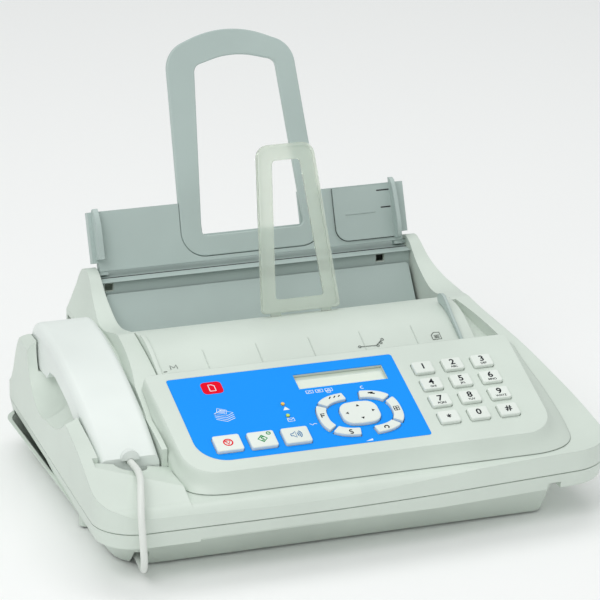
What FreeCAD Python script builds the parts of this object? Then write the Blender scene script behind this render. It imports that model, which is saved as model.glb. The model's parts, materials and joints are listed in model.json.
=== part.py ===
import FreeCAD, Part
import math
import os

import Sketcher
from FreeCAD import Placement, Rotation, Vector

# Desktop fax machine. Design frame in millimetres: X to the right, Y to the back, Z up,
# x = 0 on the middle of the paper guides, z = 0 on the table. Every piece is then moved by
# (-shift_x, -shift_y), which puts the origin under the middle of the machine.

SIZES = (
    ("shift_x", -8.3, "middle of the machine's width"),
    ("shift_y", 9.3, "middle of the machine's depth"),
    ("wall", 2.6, "wall of the moulded shells"),
    ("seam_height", 38, "parting line between the casings"),
    ("foot_height", 1.5, "gap under the plinth"),
    ("foot_radius", 8, "rubber foot"),
    ("panel_slope", 20.2, "console slope, degrees"),
    ("panel_y", -73, "reference row of the console, y"),
    ("panel_z", 84.5, "reference row of the console, z"),
    ("panel_left", -125, "console top face, left edge"),
    ("panel_right", 128.5, "console top face, right edge"),
    ("panel_front", -58, "console top face, front edge, up-slope"),
    ("panel_rear", 39.6, "console top face, rear edge, up-slope"),
    ("plate", 2.5, "console plate thickness"),
    ("key_gap", 0.4, "gap round a key in its hole"),
    ("key_depth", 4.6, "key length below the panel"),
    ("key_rise", 2.4, "key height above the panel"),
    ("pad_width", 13.7, "keypad key width"),
    ("pad_depth", 11, "keypad key depth"),
    ("pad_pitch_x", 20.9, "keypad column pitch"),
    ("pad_pitch_v", 16.5, "keypad row pitch"),
    ("pad_left", 60, "first keypad column"),
    ("pad_top", 14.5, "first keypad row"),
    ("function_width", 18, "function key width"),
    ("function_depth", 14.5, "function key depth"),
    ("nav_x", 3.3, "navigation pad centre, x"),
    ("nav_v", -20.8, "navigation pad centre, up-slope"),
    ("nav_width", 26, "navigation pad width"),
    ("nav_depth", 19, "navigation pad depth"),
    ("ring_x", 28.5, "outer half width of the curved keys' ring"),
    ("ring_v", 20.5, "outer half depth of the curved keys' ring"),
    ("ring_key", 6.4, "width of a curved key"),
    ("overlay_left", -112.2, "blue overlay, left"),
    ("overlay_right", 43.8, "blue overlay, right"),
    ("overlay_front", -47.8, "blue overlay, front"),
    ("overlay_rear", 32.9, "blue overlay, rear"),
    ("overlay_thickness", 0.5, "blue overlay sheet"),
    ("window_x", 3, "display window centre, x"),
    ("window_v", 16.8, "display window centre, up-slope"),
    ("window_width", 62, "display window width"),
    ("window_depth", 14.4, "display window depth"),
    ("slot_half", 113, "half width of the paper slot"),
    ("slot_front", 29, "paper slot, front edge"),
    ("slot_rear", 99, "paper slot, rear wall"),
    ("ramp_half", 112, "half width of the document ramp"),
    ("ramp_rear", 24, "document ramp, rear seam"),
    ("plate_top_y", 95.6, "pressure plate, top edge y"),
    ("plate_top_z", 107.2, "pressure plate, top edge z"),
    ("flap_y", 109.8, "paper support hinge, y"),
    ("flap_z", 117.8, "paper support hinge, z"),
    ("flap_lean", 21, "paper support leans back, degrees"),
    ("flap_height", 42, "paper support height"),
    ("flap_thickness", 6, "paper support thickness"),
    ("frame_height", 158, "extension frame height"),
    ("frame_thickness", 3.4, "extension frame thickness"),
    ("support_y", 28.2, "document support foot, y"),
    ("support_z", 106.2, "document support foot, z"),
    ("support_lean", 19.5, "document support leans back, degrees"),
    ("support_height", 113, "document support height"),
    ("handset_x", -152, "handset centre line"),
    ("handset_width", 40, "handset width"),
    ("handset_wall", 2.4, "handset shell"),
    ("cradle_gap", 1.2, "gap round the handset"),
    ("shaft_radius", 4, "carriage shaft"),
    ("shaft_y", -70, "carriage shaft, y"),
    ("shaft_z", 51, "carriage shaft, z"),
    ("pickup_radius", 11, "pickup roller"),
    ("feed_radius", 7, "feed roller"),
    ("exit_radius", 6, "exit roller"),
    ("axle_radius", 3, "roller axles"),
    ("axle_play", 0.08, "radial play of an axle"),
    ("cord_diameter", 4.6, "handset cord"),
)

doc = FreeCAD.newDocument("FaxMachine")
sheet = doc.addObject("Spreadsheet::Sheet", "Sizes")
for row, (alias, number, note) in enumerate(SIZES, start=1):
    sheet.set(f"A{row}", alias)
    sheet.set(f"B{row}", str(number))
    sheet.set(f"C{row}", note)
    sheet.setAlias(f"B{row}", alias)
doc.recompute()

nodes = []


def size(alias):
    """Reads a driving dimension from the sheet."""
    return float(sheet.get(alias))


SLOPE = size("panel_slope")
WALL = size("wall")
SEAM = size("seam_height")
SHIFT = Placement(Vector(-size("shift_x"), -size("shift_y"), 0), Rotation())
X_AXIS = Vector(1, 0, 0)
Y_AXIS = Vector(0, 1, 0)
Z_AXIS = Vector(0, 0, 1)


def panel_placement(u=0.0, v=0.0, w=0.0):
    """Frame on the console: u to the right, v up the slope, w out of the panel."""
    turn = Rotation(X_AXIS, SLOPE)
    corner = Vector(0, size("panel_y"), size("panel_z"))
    return Placement(corner + turn.multVec(Vector(u, v, w)), turn)


def keep(obj, label, placement=Placement()):
    """Names a finished sub-part and puts it in its place."""
    obj.Label = label
    obj.Placement = SHIFT.multiply(placement)
    nodes.append(obj)
    return obj


# ---------------------------------------------------------------- PartDesign helpers

def new_body(name):
    return doc.addObject("PartDesign::Body", name + "_body")


def attach(body, name, role="XY_Plane", height=0.0):
    """Sketch on one of the body's own origin planes, raised by height."""
    sketch = body.newObject("Sketcher::SketchObject", name)
    plane = [f for f in body.Origin.OriginFeatures if f.Role == role][0]
    sketch.AttachmentSupport = [(plane, "")]
    sketch.MapMode = "FlatFace"
    sketch.AttachmentOffset = Placement(Vector(0, 0, height), Rotation())
    return sketch


def rectangle(body, name, width, depth, role="XY_Plane", height=0.0):
    """Rectangle centred on the origin, both sides bound to expressions."""
    sketch = attach(body, name, role, height)
    corners = [Vector(-5, -4, 0), Vector(5, -4, 0), Vector(5, 4, 0), Vector(-5, 4, 0)]
    for index in range(4):
        sketch.addGeometry(Part.LineSegment(corners[index], corners[(index + 1) % 4]), False)
    for index in range(4):
        sketch.addConstraint(Sketcher.Constraint("Coincident", index, 2, (index + 1) % 4, 1))
    for index, kind in enumerate(("Horizontal", "Vertical", "Horizontal", "Vertical")):
        sketch.addConstraint(Sketcher.Constraint(kind, index))
    sketch.addConstraint(Sketcher.Constraint("Symmetric", 0, 1, 1, 2, -1, 1))
    for label, axis, line, formula in (("width", "DistanceX", 0, width), ("depth", "DistanceY", 1, depth)):
        index = sketch.addConstraint(Sketcher.Constraint(axis, line, 1, line, 2, 8.0))
        sketch.renameConstraint(index, label)
        sketch.setExpression("Constraints." + label, formula)
    return sketch


def circle(body, name, radius, role="XY_Plane", height=0.0, centre=Vector()):
    """Circle whose radius is bound to an expression."""
    sketch = attach(body, name, role, height)
    sketch.addGeometry(Part.Circle(centre, Z_AXIS, 5), False)
    index = sketch.addConstraint(Sketcher.Constraint("Radius", 0, 5))
    sketch.renameConstraint(index, "radius")
    sketch.setExpression("Constraints.radius", radius)
    sketch.addConstraint(Sketcher.Constraint("DistanceX", -1, 1, 0, 3, centre.x))
    sketch.addConstraint(Sketcher.Constraint("DistanceY", -1, 1, 0, 3, centre.y))
    return sketch


def drawn(body, name, curves, role="XY_Plane", height=0.0):
    """Sketch holding ready curves, end to end."""
    sketch = attach(body, name, role, height)
    for curve in curves:
        sketch.addGeometry(curve, False)
    return sketch


def pad(body, sketch, length, midplane=False):
    feature = body.newObject("PartDesign::Pad", sketch.Name + "_pad")
    feature.Profile = sketch
    feature.setExpression("Length", length)
    feature.Midplane = midplane
    sketch.Visibility = False
    return feature


def pocket(body, sketch, length):
    feature = body.newObject("PartDesign::Pocket", sketch.Name + "_pocket")
    feature.Profile = sketch
    feature.setExpression("Length", length)
    return feature


def fillet(body, base, radius, wanted):
    """Rounds the edges of the feature for which wanted(edge) is true."""
    doc.recompute()
    names = [f"Edge{i}" for i, edge in enumerate(base.Shape.Edges, start=1) if wanted(edge)]
    feature = body.newObject("PartDesign::Fillet", base.Name + "_fillet")
    feature.Base = (base, names)
    feature.setExpression("Radius", radius)
    return feature


def along_z(edge):
    box = edge.BoundBox
    return box.ZLength > 0.5 and box.XLength < 1e-4 and box.YLength < 1e-4


def at_height(level):
    """Test for edges that lie flat at one height."""
    def wanted(edge):
        box = edge.BoundBox
        return abs(box.ZMin - level) < 1e-4 and abs(box.ZMax - level) < 1e-4
    return wanted


def line(first, last):
    return Part.LineSegment(Vector(*first), Vector(*last))


# ---------------------------------------------------------------- outlines and solids

def rounded_curves(points, radii):
    """Closed polygon with rounded corners, as curves; each point is (a, b)."""
    corners = [Vector(a, b, 0) for a, b in points]
    count = len(corners)
    cuts = []
    for i, corner in enumerate(corners):
        before = (corners[i - 1] - corner).normalize()
        after = (corners[(i + 1) % count] - corner).normalize()
        half = before.getAngle(after) / 2
        reach = radii[i] / math.tan(half)
        middle = (before + after).normalize() * (radii[i] / math.sin(half) - radii[i])
        cuts.append((corner + before * reach, corner + middle, corner + after * reach))
    curves = []
    for i, (start, middle, end) in enumerate(cuts):
        curves.append(Part.Arc(start, middle, end))
        curves.append(Part.LineSegment(end, cuts[(i + 1) % count][0]))
    return curves


def rounded_wire(points, radii, height=0.0):
    wire = Part.Wire([curve.toShape() for curve in rounded_curves(points, radii)])
    wire.translate(Vector(0, 0, height))
    return wire


def box_points(left, right, front, rear):
    return [(left, front), (right, front), (right, rear), (left, rear)]


def block(low, high):
    """Box between two corners."""
    return Part.makeBox(*[b - a for a, b in zip(low, high)], Vector(*low))


def rod(start, axis, radius, length):
    return Part.makeCylinder(radius, length, Vector(*start), axis)


def run_edges(runs):
    """Edges end to end: a run of two points is straight, a longer one is a smooth curve."""
    edges = []
    for points in runs:
        if len(points) == 2:
            edges.append(Part.LineSegment(*points).toShape())
        else:
            curve = Part.BSplineCurve()
            curve.interpolate(points)
            edges.append(curve.toShape())
    return edges


def side_face(runs):
    """Face in the YZ plane from runs of (y, z)."""
    return Part.Face(Part.Wire(run_edges([[Vector(0, y, z) for y, z in run] for run in runs])))


def front_face(runs):
    """Face in the XZ plane from runs of (x, z)."""
    return Part.Face(Part.Wire(run_edges([[Vector(x, 0, z) for x, z in run] for run in runs])))


def inset_face(face, inset):
    """The face moved inwards, bounded by straight lines, arcs and interpolated curves only."""
    if inset == 0:
        return face
    edges = []
    for edge in face.makeOffset2D(-inset).OuterWire.OrderedEdges:
        if isinstance(edge.Curve, (Part.Line, Part.Circle)):
            edges.append(edge)
            continue
        curve = Part.BSplineCurve()
        curve.interpolate(edge.discretize(Number=24))
        edges.append(curve.toShape())
    return Part.Face(Part.Wire(edges))


def across(face, left, right):
    """Side face swept along X from left to right."""
    return face.translated(Vector(left, 0, 0)).extrude(Vector(right - left, 0, 0))


def along(face, front, rear):
    """Front face swept along Y from front to rear."""
    return face.translated(Vector(0, front, 0)).extrude(Vector(0, rear - front, 0))


def polygon_prism(points, left, right):
    """Prism along X from a polygon of (y, z)."""
    corners = [Vector(left, y, z) for y, z in points]
    return Part.Face(Part.makePolygon(corners + corners[:1])).extrude(Vector(right - left, 0, 0))


def fuse_all(shapes):
    return shapes[0].multiFuse(shapes[1:]) if len(shapes) > 1 else shapes[0]


def feature(label, shape, placement=Placement(), refine=True):
    """Sub-part whose shape Part's own functions made."""
    solid = shape.removeSplitter() if refine else shape
    obj = doc.addObject("Part::Feature", label)
    obj.Shape = solid
    return keep(obj, label, placement)


# ---------------------------------------------------------------- casings

def plan_points():
    return [(-187, -146), (-10, -148.6), (170.5, -135), (161, 124), (-176, 124)]


PLAN_RADII = (27, 1500, 34, 22, 24)
FEET = ((-138, -88), (108, -92), (108, 84), (-138, 80))
SCREWS = ((-150, 70), (118, 70), (121.5, -27), (-166, -40))


def plan_wire(inset=0.0, height=0.0):
    """Plan outline of the casings, moved inwards by inset; it always has the same edges."""
    corners = [Vector(x, y, 0) for x, y in plan_points()]
    moved = []
    for i, corner in enumerate(corners):
        before = (corner - corners[i - 1]).normalize()
        after = (corners[(i + 1) % len(corners)] - corner).normalize()
        first, second = Vector(-before.y, before.x, 0), Vector(-after.y, after.x, 0)
        shifted = corner + (first + second) * (inset / (1 + first.dot(second)))
        moved.append((shifted.x, shifted.y))
    return rounded_wire(moved, [radius - inset for radius in PLAN_RADII], height)


def main_side(bottom):
    """Side outline of the body right of the handset: front, console seat, slot, pillars."""
    return [
        [(-149.5, bottom), (-149.5, 37.5)],
        [(-149.5, 37.5), (-148.4, 44), (-144.5, 49.5), (-138, 51.5)],
        [(-138, 51.5), (-114, 53.5), (-80, 66), (-38, 88), (0, 100.6), (24, 105)],
        [(24, 105), (33, 103.4), (48, 99.8), (61, 99.8), (74, 104), (90, 112.5), (100, 120),
         (108, 122.4)],
        [(108, 122.4), (115, 120.5), (120.5, 114)],
        [(120.5, 114), (124.5, 100)],
        [(124.5, 100), (124.5, bottom)],
        [(124.5, bottom), (-149.5, bottom)],
    ]


def main_front(bottom, left):
    """Front outline of the same body: the right side leans in towards the pillars."""
    return [
        [(left, bottom), (left, 87)],
        [(left, 87), (-130, 90)],
        [(-130, 90), (-126, 99), (-122.6, 111), (-121, 126)],
        [(-121, 126), (121, 126)],
        [(121, 126), (122.8, 113), (128, 103), (137.5, 94), (151, 79), (164.5, 61), (171, 45)],
        [(171, 45), (171, bottom)],
        [(171, bottom), (left, bottom)],
    ]


def wing_side(bottom):
    """Side outline of the wing that carries the handset."""
    return [
        [(-149.5, bottom), (-149.5, 37.5)],
        [(-149.5, 37.5), (-148.4, 44), (-144.5, 49.5), (-138, 52.6)],
        [(-138, 52.6), (-120, 59.5), (-102, 66), (-82, 72.7), (-57, 78), (-32, 84.5), (0, 93),
         (30, 98), (52, 99.5)],
        [(52, 99.5), (67, 96), (80, 84), (90, 66), (100, 53), (113, 47), (124.5, 45)],
        [(124.5, 45), (124.5, bottom)],
        [(124.5, bottom), (-149.5, bottom)],
    ]


def wing_front(bottom, right):
    """Front outline of the wing: the outer side leans in and rounds over at the rim."""
    return [
        [(-188, bottom), (-188, 45)],
        [(-188, 45), (-186.5, 62), (-183, 80), (-178.5, 92), (-171, 100.5)],
        [(-171, 100.5), (right, 100.5)],
        [(right, 100.5), (right, bottom)],
        [(right, bottom), (-188, bottom)],
    ]


def casing_form(inset, bottom):
    """Outer form of the upper casing, or the same form moved inwards by inset.

    The two bodies overlap, so that no wall is left between them inside.
    """
    main_left = -130.1 - 1.1 * inset
    wing_right = -127 + 0.42 * inset
    plan = Part.Face(plan_wire(inset, bottom)).extrude(Vector(0, 0, 130))
    main = across(inset_face(side_face(main_side(bottom)), inset), -135, 171)
    main = main.common(along(inset_face(front_face(main_front(bottom, main_left)), inset), -150, 126))
    wing = across(inset_face(side_face(wing_side(bottom)), inset), -188, -120)
    wing = wing.common(along(inset_face(front_face(wing_front(bottom, wing_right)), inset), -150, 126))
    return main.fuse(wing).common(plan)


def handset_side(grow=0.0, open_top=False):
    """Side outline of the handset; grow moves the underside and the ends outwards."""
    under = [(-91 - grow, 54 - grow), (-88, 49.5 - grow), (-62, 51.5 - grow), (-52 + grow, 58 - grow),
             (-44, 70 - grow), (-20, 80 - grow), (8, 87 - grow), (20 - grow, 86 - grow), (27, 79.5 - grow),
             (60, 79.5 - grow), (66 + grow, 84 - grow)]
    if open_top:
        tail = [(66 + grow, 84 - grow), (66 + grow, 150), (-91 - grow, 150), (-91 - grow, 54 - grow)]
        return side_face([under[i:i + 2] for i in range(len(under) - 1)] + [tail[i:i + 2] for i in range(3)])
    top = [(-91, 66.5), (-78, 74), (-58, 84), (-34, 93.2), (-6, 101.6), (22, 107.2), (44, 109.2), (56, 108),
           (63, 104), (66, 97)]
    front = [(-91, 54), (-91, 66.5)]
    tail = [(66, 97), (66, 84)]
    underside = [under[i:i + 2] for i in range(len(under) - 2, -1, -1)]
    backwards = [run[::-1] for run in underside]
    return side_face([front, top, tail] + backwards)


def cradle_space(grow):
    """Space that the handset takes in the cradle, open above."""
    half = size("handset_width") / 2 + size("cradle_gap") + grow
    middle = size("handset_x")
    return across(handset_side(size("cradle_gap") + grow, True), middle - half, middle + half)


def finger_recess(grow):
    """Bowl in the outer rim where the hand reaches the handset: two blended ovals."""
    ovals = []
    for y, z, half_length, radius, tilt in ((14, 94, 37.5, 36.5, 0), (-14, 93, 56, 31, -14)):
        half_length += grow
        radius += grow
        oval = Part.Ellipse(Vector(), half_length, radius)
        edge = Part.Edge(oval, 0, math.pi)
        chord = Part.makeLine(Vector(-half_length, 0, 0), Vector(half_length, 0, 0))
        face = Part.Face(Part.Wire([edge, chord]))
        solid = face.revolve(Vector(), X_AXIS, 360)
        turn = Rotation(X_AXIS, tilt).multiply(Rotation(Z_AXIS, 90))
        solid.Placement = Placement(Vector(-190, y, z), turn)
        ovals.append(solid)
    return ovals[0].fuse(ovals[1])


def cord_notch(grow):
    """Half-round notch in front of the handset, for the plug and the cord."""
    return rod((-152, -92, 48 - grow), Z_AXIS, 11 + grow, 60)


def slot_space(grow):
    """Paper slot between the pillars."""
    half = size("slot_half") + grow
    return block((-half, size("slot_front") - grow, 20), (half, size("slot_rear") + grow, 140))


def flap_recess(grow):
    """Seat of the paper support between the pillars, behind the slot."""
    half = size("slot_half") + grow
    return block((-half, 96 - grow, 115.3 - grow), (half, 130, 140))


def flap_bores():
    """Holes in the pillars for the paper support's hinge pins."""
    return rod((-117, size("flap_y"), size("flap_z")), X_AXIS, 1.58, 234)


def ramp_recess(grow):
    """Three-cornered recess beyond the right end of the ramp."""
    points = [(112.6 - grow, -33), (112.6 - grow, 21 + grow), (116 + grow, 21 + grow), (131 + grow, -33)]
    wire = Part.makePolygon([Vector(a, b, 0) for a, b in points + points[:1]])
    prism = Part.Face(wire).translated(Vector(0, 0, 60)).extrude(Vector(0, 0, 60))
    side = [(-60, 70 - grow), (-33, 82 - grow), (24, 101 - grow), (24, 130), (-60, 130)]
    slope = polygon_prism(side, 100, 140)
    return prism.common(slope)


def ramp_well():
    half = size("ramp_half") + 0.6
    return block((-half, -45, 76), (half, size("ramp_rear") + 0.5, 130))


def console_well():
    """Opening under the console, through which the cartridge is changed."""
    wire = rounded_wire([(-121, -126), (136, -121), (130, -33), (-121, -33)], (16, 16, 3, 3), 30)
    return Part.Face(wire).extrude(Vector(0, 0, 90))


def front_slope():
    """Takes the wing down towards the console in front of the handset."""
    face = front_face([[(-177, 66.6), (-126.5, 57.5)], [(-126.5, 57.5), (-126.5, 80)],
                       [(-126.5, 80), (-177, 80)], [(-177, 80), (-177, 66.6)]])
    return along(face, -150, -92)


def inlet_hole():
    return block((-105.2, 115, 43.8), (-82.8, 130, 64.2))


def jack_holes():
    return fuse_all([block((x - 5.9, 115, 46), (x + 5.9, 130, 54.5)) for x in (64, 82)])


def upper_casing():
    outer = casing_form(0, SEAM)
    pockets = [cradle_space(0), finger_recess(0), cord_notch(0), slot_space(0), flap_recess(0),
               ramp_recess(0), ramp_well(), console_well(), front_slope(), inlet_hole(), jack_holes()]
    for tool in pockets:
        outer = outer.cut(tool)
    hollow = casing_form(WALL, SEAM - 8)
    for keep_wall in (cradle_space, finger_recess, cord_notch, slot_space, flap_recess, ramp_recess):
        hollow = hollow.cut(keep_wall(WALL))
    hollow = hollow.cut(front_slope().translated(Vector(0, 0, -WALL)))
    bosses = fuse_all([rod((x, y, SEAM), Z_AXIS, 4.5, 80) for x, y in SCREWS]).common(outer)
    shell = outer.cut(hollow).fuse(bosses)
    for x, y in SCREWS:
        shell = shell.cut(rod((x, y, SEAM), Z_AXIS, 1.6, 10))
    shell = shell.cut(pickup_bearings())
    shell = shell.cut(flap_bores())
    shell = shell.cut(hook_hole())
    shell = shell.cut(feeder_holes())
    shell = shell.cut(support_sockets())
    return feature("upper_casing", shell)


def pickup_centre():
    """Axis of the pickup roller, clear in front of the pressure plate."""
    down = Vector(0, -43.6, -59.2).normalize()
    out = Vector(0, down.z, -down.y)
    foot = Vector(0, size("plate_top_y"), size("plate_top_z")) + down * 62
    return foot + out * (size("pickup_radius") + 1.2)


def pickup_bearings():
    centre = pickup_centre()
    radius = size("axle_radius") + size("axle_play")
    return rod((-125, centre.y, centre.z), X_AXIS, radius, 250)


def hook_hole():
    """Opening in the cradle floor for the hook button."""
    return block((-156.4, 39.6, 70), (-147.6, 46.4, 82))


def feeder_holes():
    """Square holes in the rear wall of the paper slot."""
    return fuse_all([block((x - 3, 90, 108.4), (x + 3, 104, 113.6)) for x in (-107, 90.7)])


def support_placement():
    """Frame of the document support: x across, y up its slope, z to the front."""
    turn = Rotation(X_AXIS, 90 - size("support_lean"))
    return Placement(Vector(6, size("support_y"), size("support_z")), turn)


def support_sockets():
    """Two slots in the lip behind the ramp that take the document support's hooks."""
    slots = fuse_all([block((x - 3.8, -7, -0.2), (x + 3.8, 2, 1.4)) for x in (-18, 18)])
    slots.Placement = support_placement()
    return slots


def band_solid(inset, low, high):
    """Overhanging band of the lower casing, a little narrower at its bottom."""
    return Part.makeLoft([plan_wire(inset + 2.2, low), plan_wire(inset, high)], True, True)


def plinth_solid(inset, low, neck=0.5):
    """Narrower foot of the machine, spreading upwards, with a straight neck on top."""
    bottom = box_points(-164 + inset, 128 - inset, -112 + inset, 103 - inset)
    top = box_points(-182 + inset, 131 - inset, -124 + inset, 108 - inset)
    radii = (24, 9, 9, 20)
    foot = Part.makeLoft([rounded_wire(bottom, radii, low), rounded_wire(top, radii, 27)], True, True)
    return foot.fuse(Part.Face(rounded_wire(top, radii, 27)).extrude(Vector(0, 0, neck)))


def parting_groove():
    """Shadow gap round the machine where the two casings meet."""
    low, high = SEAM - 0.7, Vector(0, 0, 0.7)
    return Part.Face(plan_wire(-1, low)).extrude(high).cut(Part.Face(plan_wire(1.4, low)).extrude(high))


def cord_channel(grow):
    """Channel under the plinth that leads the cord to its jack."""
    return block((-156.6 - grow, -135, 0), (-147.4 + grow, -74 + grow, 12 + grow))


def lower_casing():
    low = size("foot_height")
    outer = band_solid(0, 27, SEAM).fuse(plinth_solid(0, low))
    lip = polygon_prism([(-150.5, 32.6), (-142.4, 27), (-142.4, 20), (-150.5, 20)], -122, 118)
    outer = outer.cut(lip)
    hollow = band_solid(8, 29.6, SEAM + 0.01).fuse(plinth_solid(WALL, low + WALL, 4))
    hollow = hollow.cut(cord_channel(WALL))
    shell = outer.cut(hollow).cut(parting_groove())
    exit_slot = block((-112, -150, 20.5), (116, -100, 26.9))
    shell = shell.cut(exit_slot).cut(cord_channel(0))
    shell = shell.cut(block((118, -150, 20), (127.5, -128, 31.5)))
    feet = [rod((x, y, 0), Z_AXIS, size("foot_radius"), low + 1) for x, y in FEET]
    for foot in feet:
        shell = shell.cut(foot)
    shell = shell.cut(block((-159.5, -74, 2.2), (-144.5, -60.9, 16.2)))
    bosses = [rod((x, y, low), Z_AXIS, 4.5, SEAM - low) for x, y in SCREWS]
    shell = shell.fuse(fuse_all(bosses))
    for x, y in SCREWS:
        shell = shell.cut(rod((x, y, low), Z_AXIS, 1.6, SEAM))
        shell = shell.cut(rod((x, y, low), Z_AXIS, 3.4, 6))
    return feature("lower_casing", shell)


def rubber_feet():
    feet = [rod((x, y, 0), Z_AXIS, size("foot_radius"), size("foot_height") + 1) for x, y in FEET]
    return feature("rubber_feet", Part.makeCompound(feet), refine=False)


def casing_screws():
    """Four screws up through the lower casing's bosses."""
    low = size("foot_height") + 3.6
    screws = []
    for x, y in SCREWS:
        head = rod((x, y, low), Z_AXIS, 3.2, 2.4)
        screws.append(head.fuse(rod((x, y, low), Z_AXIS, 1.6, 40)).removeSplitter())
    return feature("casing_screws", Part.makeCompound(screws), refine=False)


# ---------------------------------------------------------------- console

def console_sections(inset):
    """Flaring sections of the console, from its top face downwards."""
    left, right = size("panel_left"), size("panel_right")
    front, rear = size("panel_front"), size("panel_rear")
    levels = (
        (0.0, 0.0, 0.0, 0.0, 21), (-1.0, 0.6, 0.6, 0.6, 21), (-5.0, 1.2, 3.4, 3.6, 23),
        (-10.0, 2.0, 9.0, 10.5, 26), (-16.0, 2.8, 17.5, 20.0, 29), (-23.0, 3.6, 29.0, 32.0, 33),
    )
    wires = []
    for w, out_left, out_right, out_front, radius in levels:
        points = [(left - out_left + inset + 2.2, front - out_front + inset),
                  (right + out_right - inset - 1.2, front - out_front + inset),
                  (right + out_right - inset, rear - inset), (left - out_left + inset, rear - inset)]
        wires.append(rounded_wire(points, (radius + 1, radius, 4, 4), w))
    return wires


def key_rows():
    """Centre (u, v) and name of each keypad key."""
    names = ("1", "2", "3", "4", "5", "6", "7", "8", "9", "star", "0", "hash")
    for index, name in enumerate(names):
        column, line_number = index % 3, index // 3
        u = size("pad_left") + column * size("pad_pitch_x")
        v = size("pad_top") - line_number * size("pad_pitch_v")
        yield "key_" + name, u, v


LIGHTS = ((-43.7, -2.8), (-43.9, -14.1))
FUNCTION_KEYS = (("stop_key", -91, -34), ("start_key", -68, -34.5), ("speaker_key", -45, -34.5))

# Curved keys: name, first and last angle on the ring in degrees.
RING_KEYS = (
    ("index_key", 97, 146), ("clear_key", 34, 83), ("book_key", -32, 27),
    ("redial_key", -83, -40), ("setup_key", -140, -97), ("function_key", 154, 213),
)


def ring_point(angle, inward=0.0):
    """Point of the rounded ring round the navigation pad."""
    power = 2 / 2.7
    turn = math.radians(angle)
    cosine, sine = math.cos(turn), math.sin(turn)
    u = (size("ring_x") - inward) * math.copysign(abs(cosine) ** power, cosine)
    v = (size("ring_v") - inward) * math.copysign(abs(sine) ** power, sine)
    return Vector(u, v, 0)


def ring_curves(first, last, grow=0.0):
    """Outline of one curved key: outer curve, end, inner curve, end."""
    steps = 8
    spread = grow * 2.4
    angles = [first - spread + (last - first + 2 * spread) * i / steps for i in range(steps + 1)]
    outer = Part.BSplineCurve()
    outer.interpolate([ring_point(a, -grow) for a in angles])
    inner = Part.BSplineCurve()
    inner.interpolate([ring_point(a, size("ring_key") + grow) for a in reversed(angles)])
    last_end = Part.LineSegment(outer.EndPoint, inner.StartPoint)
    first_end = Part.LineSegment(inner.EndPoint, outer.StartPoint)
    return [outer, last_end, inner, first_end]


def nav_curves(grow=0.0):
    half_u, half_v = size("nav_width") / 2 + grow, size("nav_depth") / 2 + grow
    radius = 7.5 + grow
    points = [(-half_u, -half_v), (0, -half_v - 1.2), (half_u, -half_v),
              (half_u, half_v), (0, half_v + 1.2), (-half_u, half_v)]
    return rounded_curves(points, (radius, 40, radius, radius, 40, radius))


def prism_of(curves, low, high):
    wire = Part.Wire([curve.toShape() for curve in curves])
    wire.translate(Vector(0, 0, low))
    return Part.Face(wire).extrude(Vector(0, 0, high - low))


def cap_hole(u, v, width, depth, low, high):
    gap = size("key_gap")
    half_u, half_v = width / 2 + gap, depth / 2 + gap
    points = box_points(u - half_u, u + half_u, v - half_v, v + half_v)
    return prism_of(rounded_curves(points, (1.8, 1.8, 1.8, 1.8)), low, high)


def overlay_keys(low, high):
    """Holes for the keys that come up through the blue overlay."""
    gap = size("key_gap")
    holes = [cap_hole(u, v, size("function_width"), size("function_depth"), low, high)
             for _, u, v in FUNCTION_KEYS]
    centre = Vector(size("nav_x"), size("nav_v"), 0)
    holes.append(prism_of(nav_curves(gap), low, high).translated(centre))
    for _, first, last in RING_KEYS:
        holes.append(prism_of(ring_curves(first, last, gap), low, high).translated(centre))
    half_u, half_v = size("window_width") / 2, size("window_depth") / 2
    u, v = size("window_x"), size("window_v")
    holes.append(block((u - half_u, v - half_v, low), (u + half_u, v + half_v, high)))
    holes += [rod((u, v, low), Z_AXIS, 1.3, high - low) for u, v in LIGHTS]
    return fuse_all(holes)


def overlay_wire(grow=0.0, height=0.0):
    points = box_points(size("overlay_left") - grow, size("overlay_right") + grow,
                        size("overlay_front") - grow, size("overlay_rear") + grow)
    return rounded_wire(points, (20, 2, 2, 2), height)


def console_cover():
    outer = Part.makeLoft(console_sections(0), True, False)
    inner = Part.makeLoft(console_sections(WALL), True, False).translated(Vector(0, 0, -size("plate")))
    seat = across(side_face(main_side(SEAM)), -190, 190).translated(Vector(0, 0, 0.5))
    seat.Placement = panel_placement().inverse().multiply(seat.Placement)
    cover = outer.cut(inner).cut(seat)
    thin = size("overlay_thickness")
    cover = cover.cut(Part.Face(overlay_wire(0.05, -thin)).extrude(Vector(0, 0, 5)))
    cover = cover.cut(overlay_keys(-6, 2))
    for _, u, v in key_rows():
        cover = cover.cut(cap_hole(u, v, size("pad_width"), size("pad_depth"), -6, 2))
    slot = block((-119, size("panel_rear") - 6, -30), (119, size("panel_rear") + 6, -3.4))
    cover = cover.cut(slot)
    wedge = block((-160, -90, -60), (160, size("panel_front") - 12.5, -9))
    beside_cradle = block((-160, -100, -60), (-126.6, 100, 5))
    cover = cover.cut(wedge).cut(beside_cradle)
    solid = max(cover.Solids, key=lambda piece: piece.Volume)
    return feature("console_cover", solid, panel_placement())


def panel_overlay():
    thin = size("overlay_thickness")
    sheet_solid = Part.Face(overlay_wire(0, -thin)).extrude(Vector(0, 0, thin + 0.05))
    return feature("panel_overlay", sheet_solid.cut(overlay_keys(-6, 2)), panel_placement())


def lcd_window():
    """Clear window with a rim that backs the opening."""
    body = new_body("lcd_window")
    rim = rectangle(body, "lcd_rim", "Sizes.window_width + 5", "Sizes.window_depth + 5")
    pad(body, rim, "1.4")
    doc.recompute()
    return keep(body, "lcd_window", panel_placement(size("window_x"), size("window_v"), -4.2))


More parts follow.
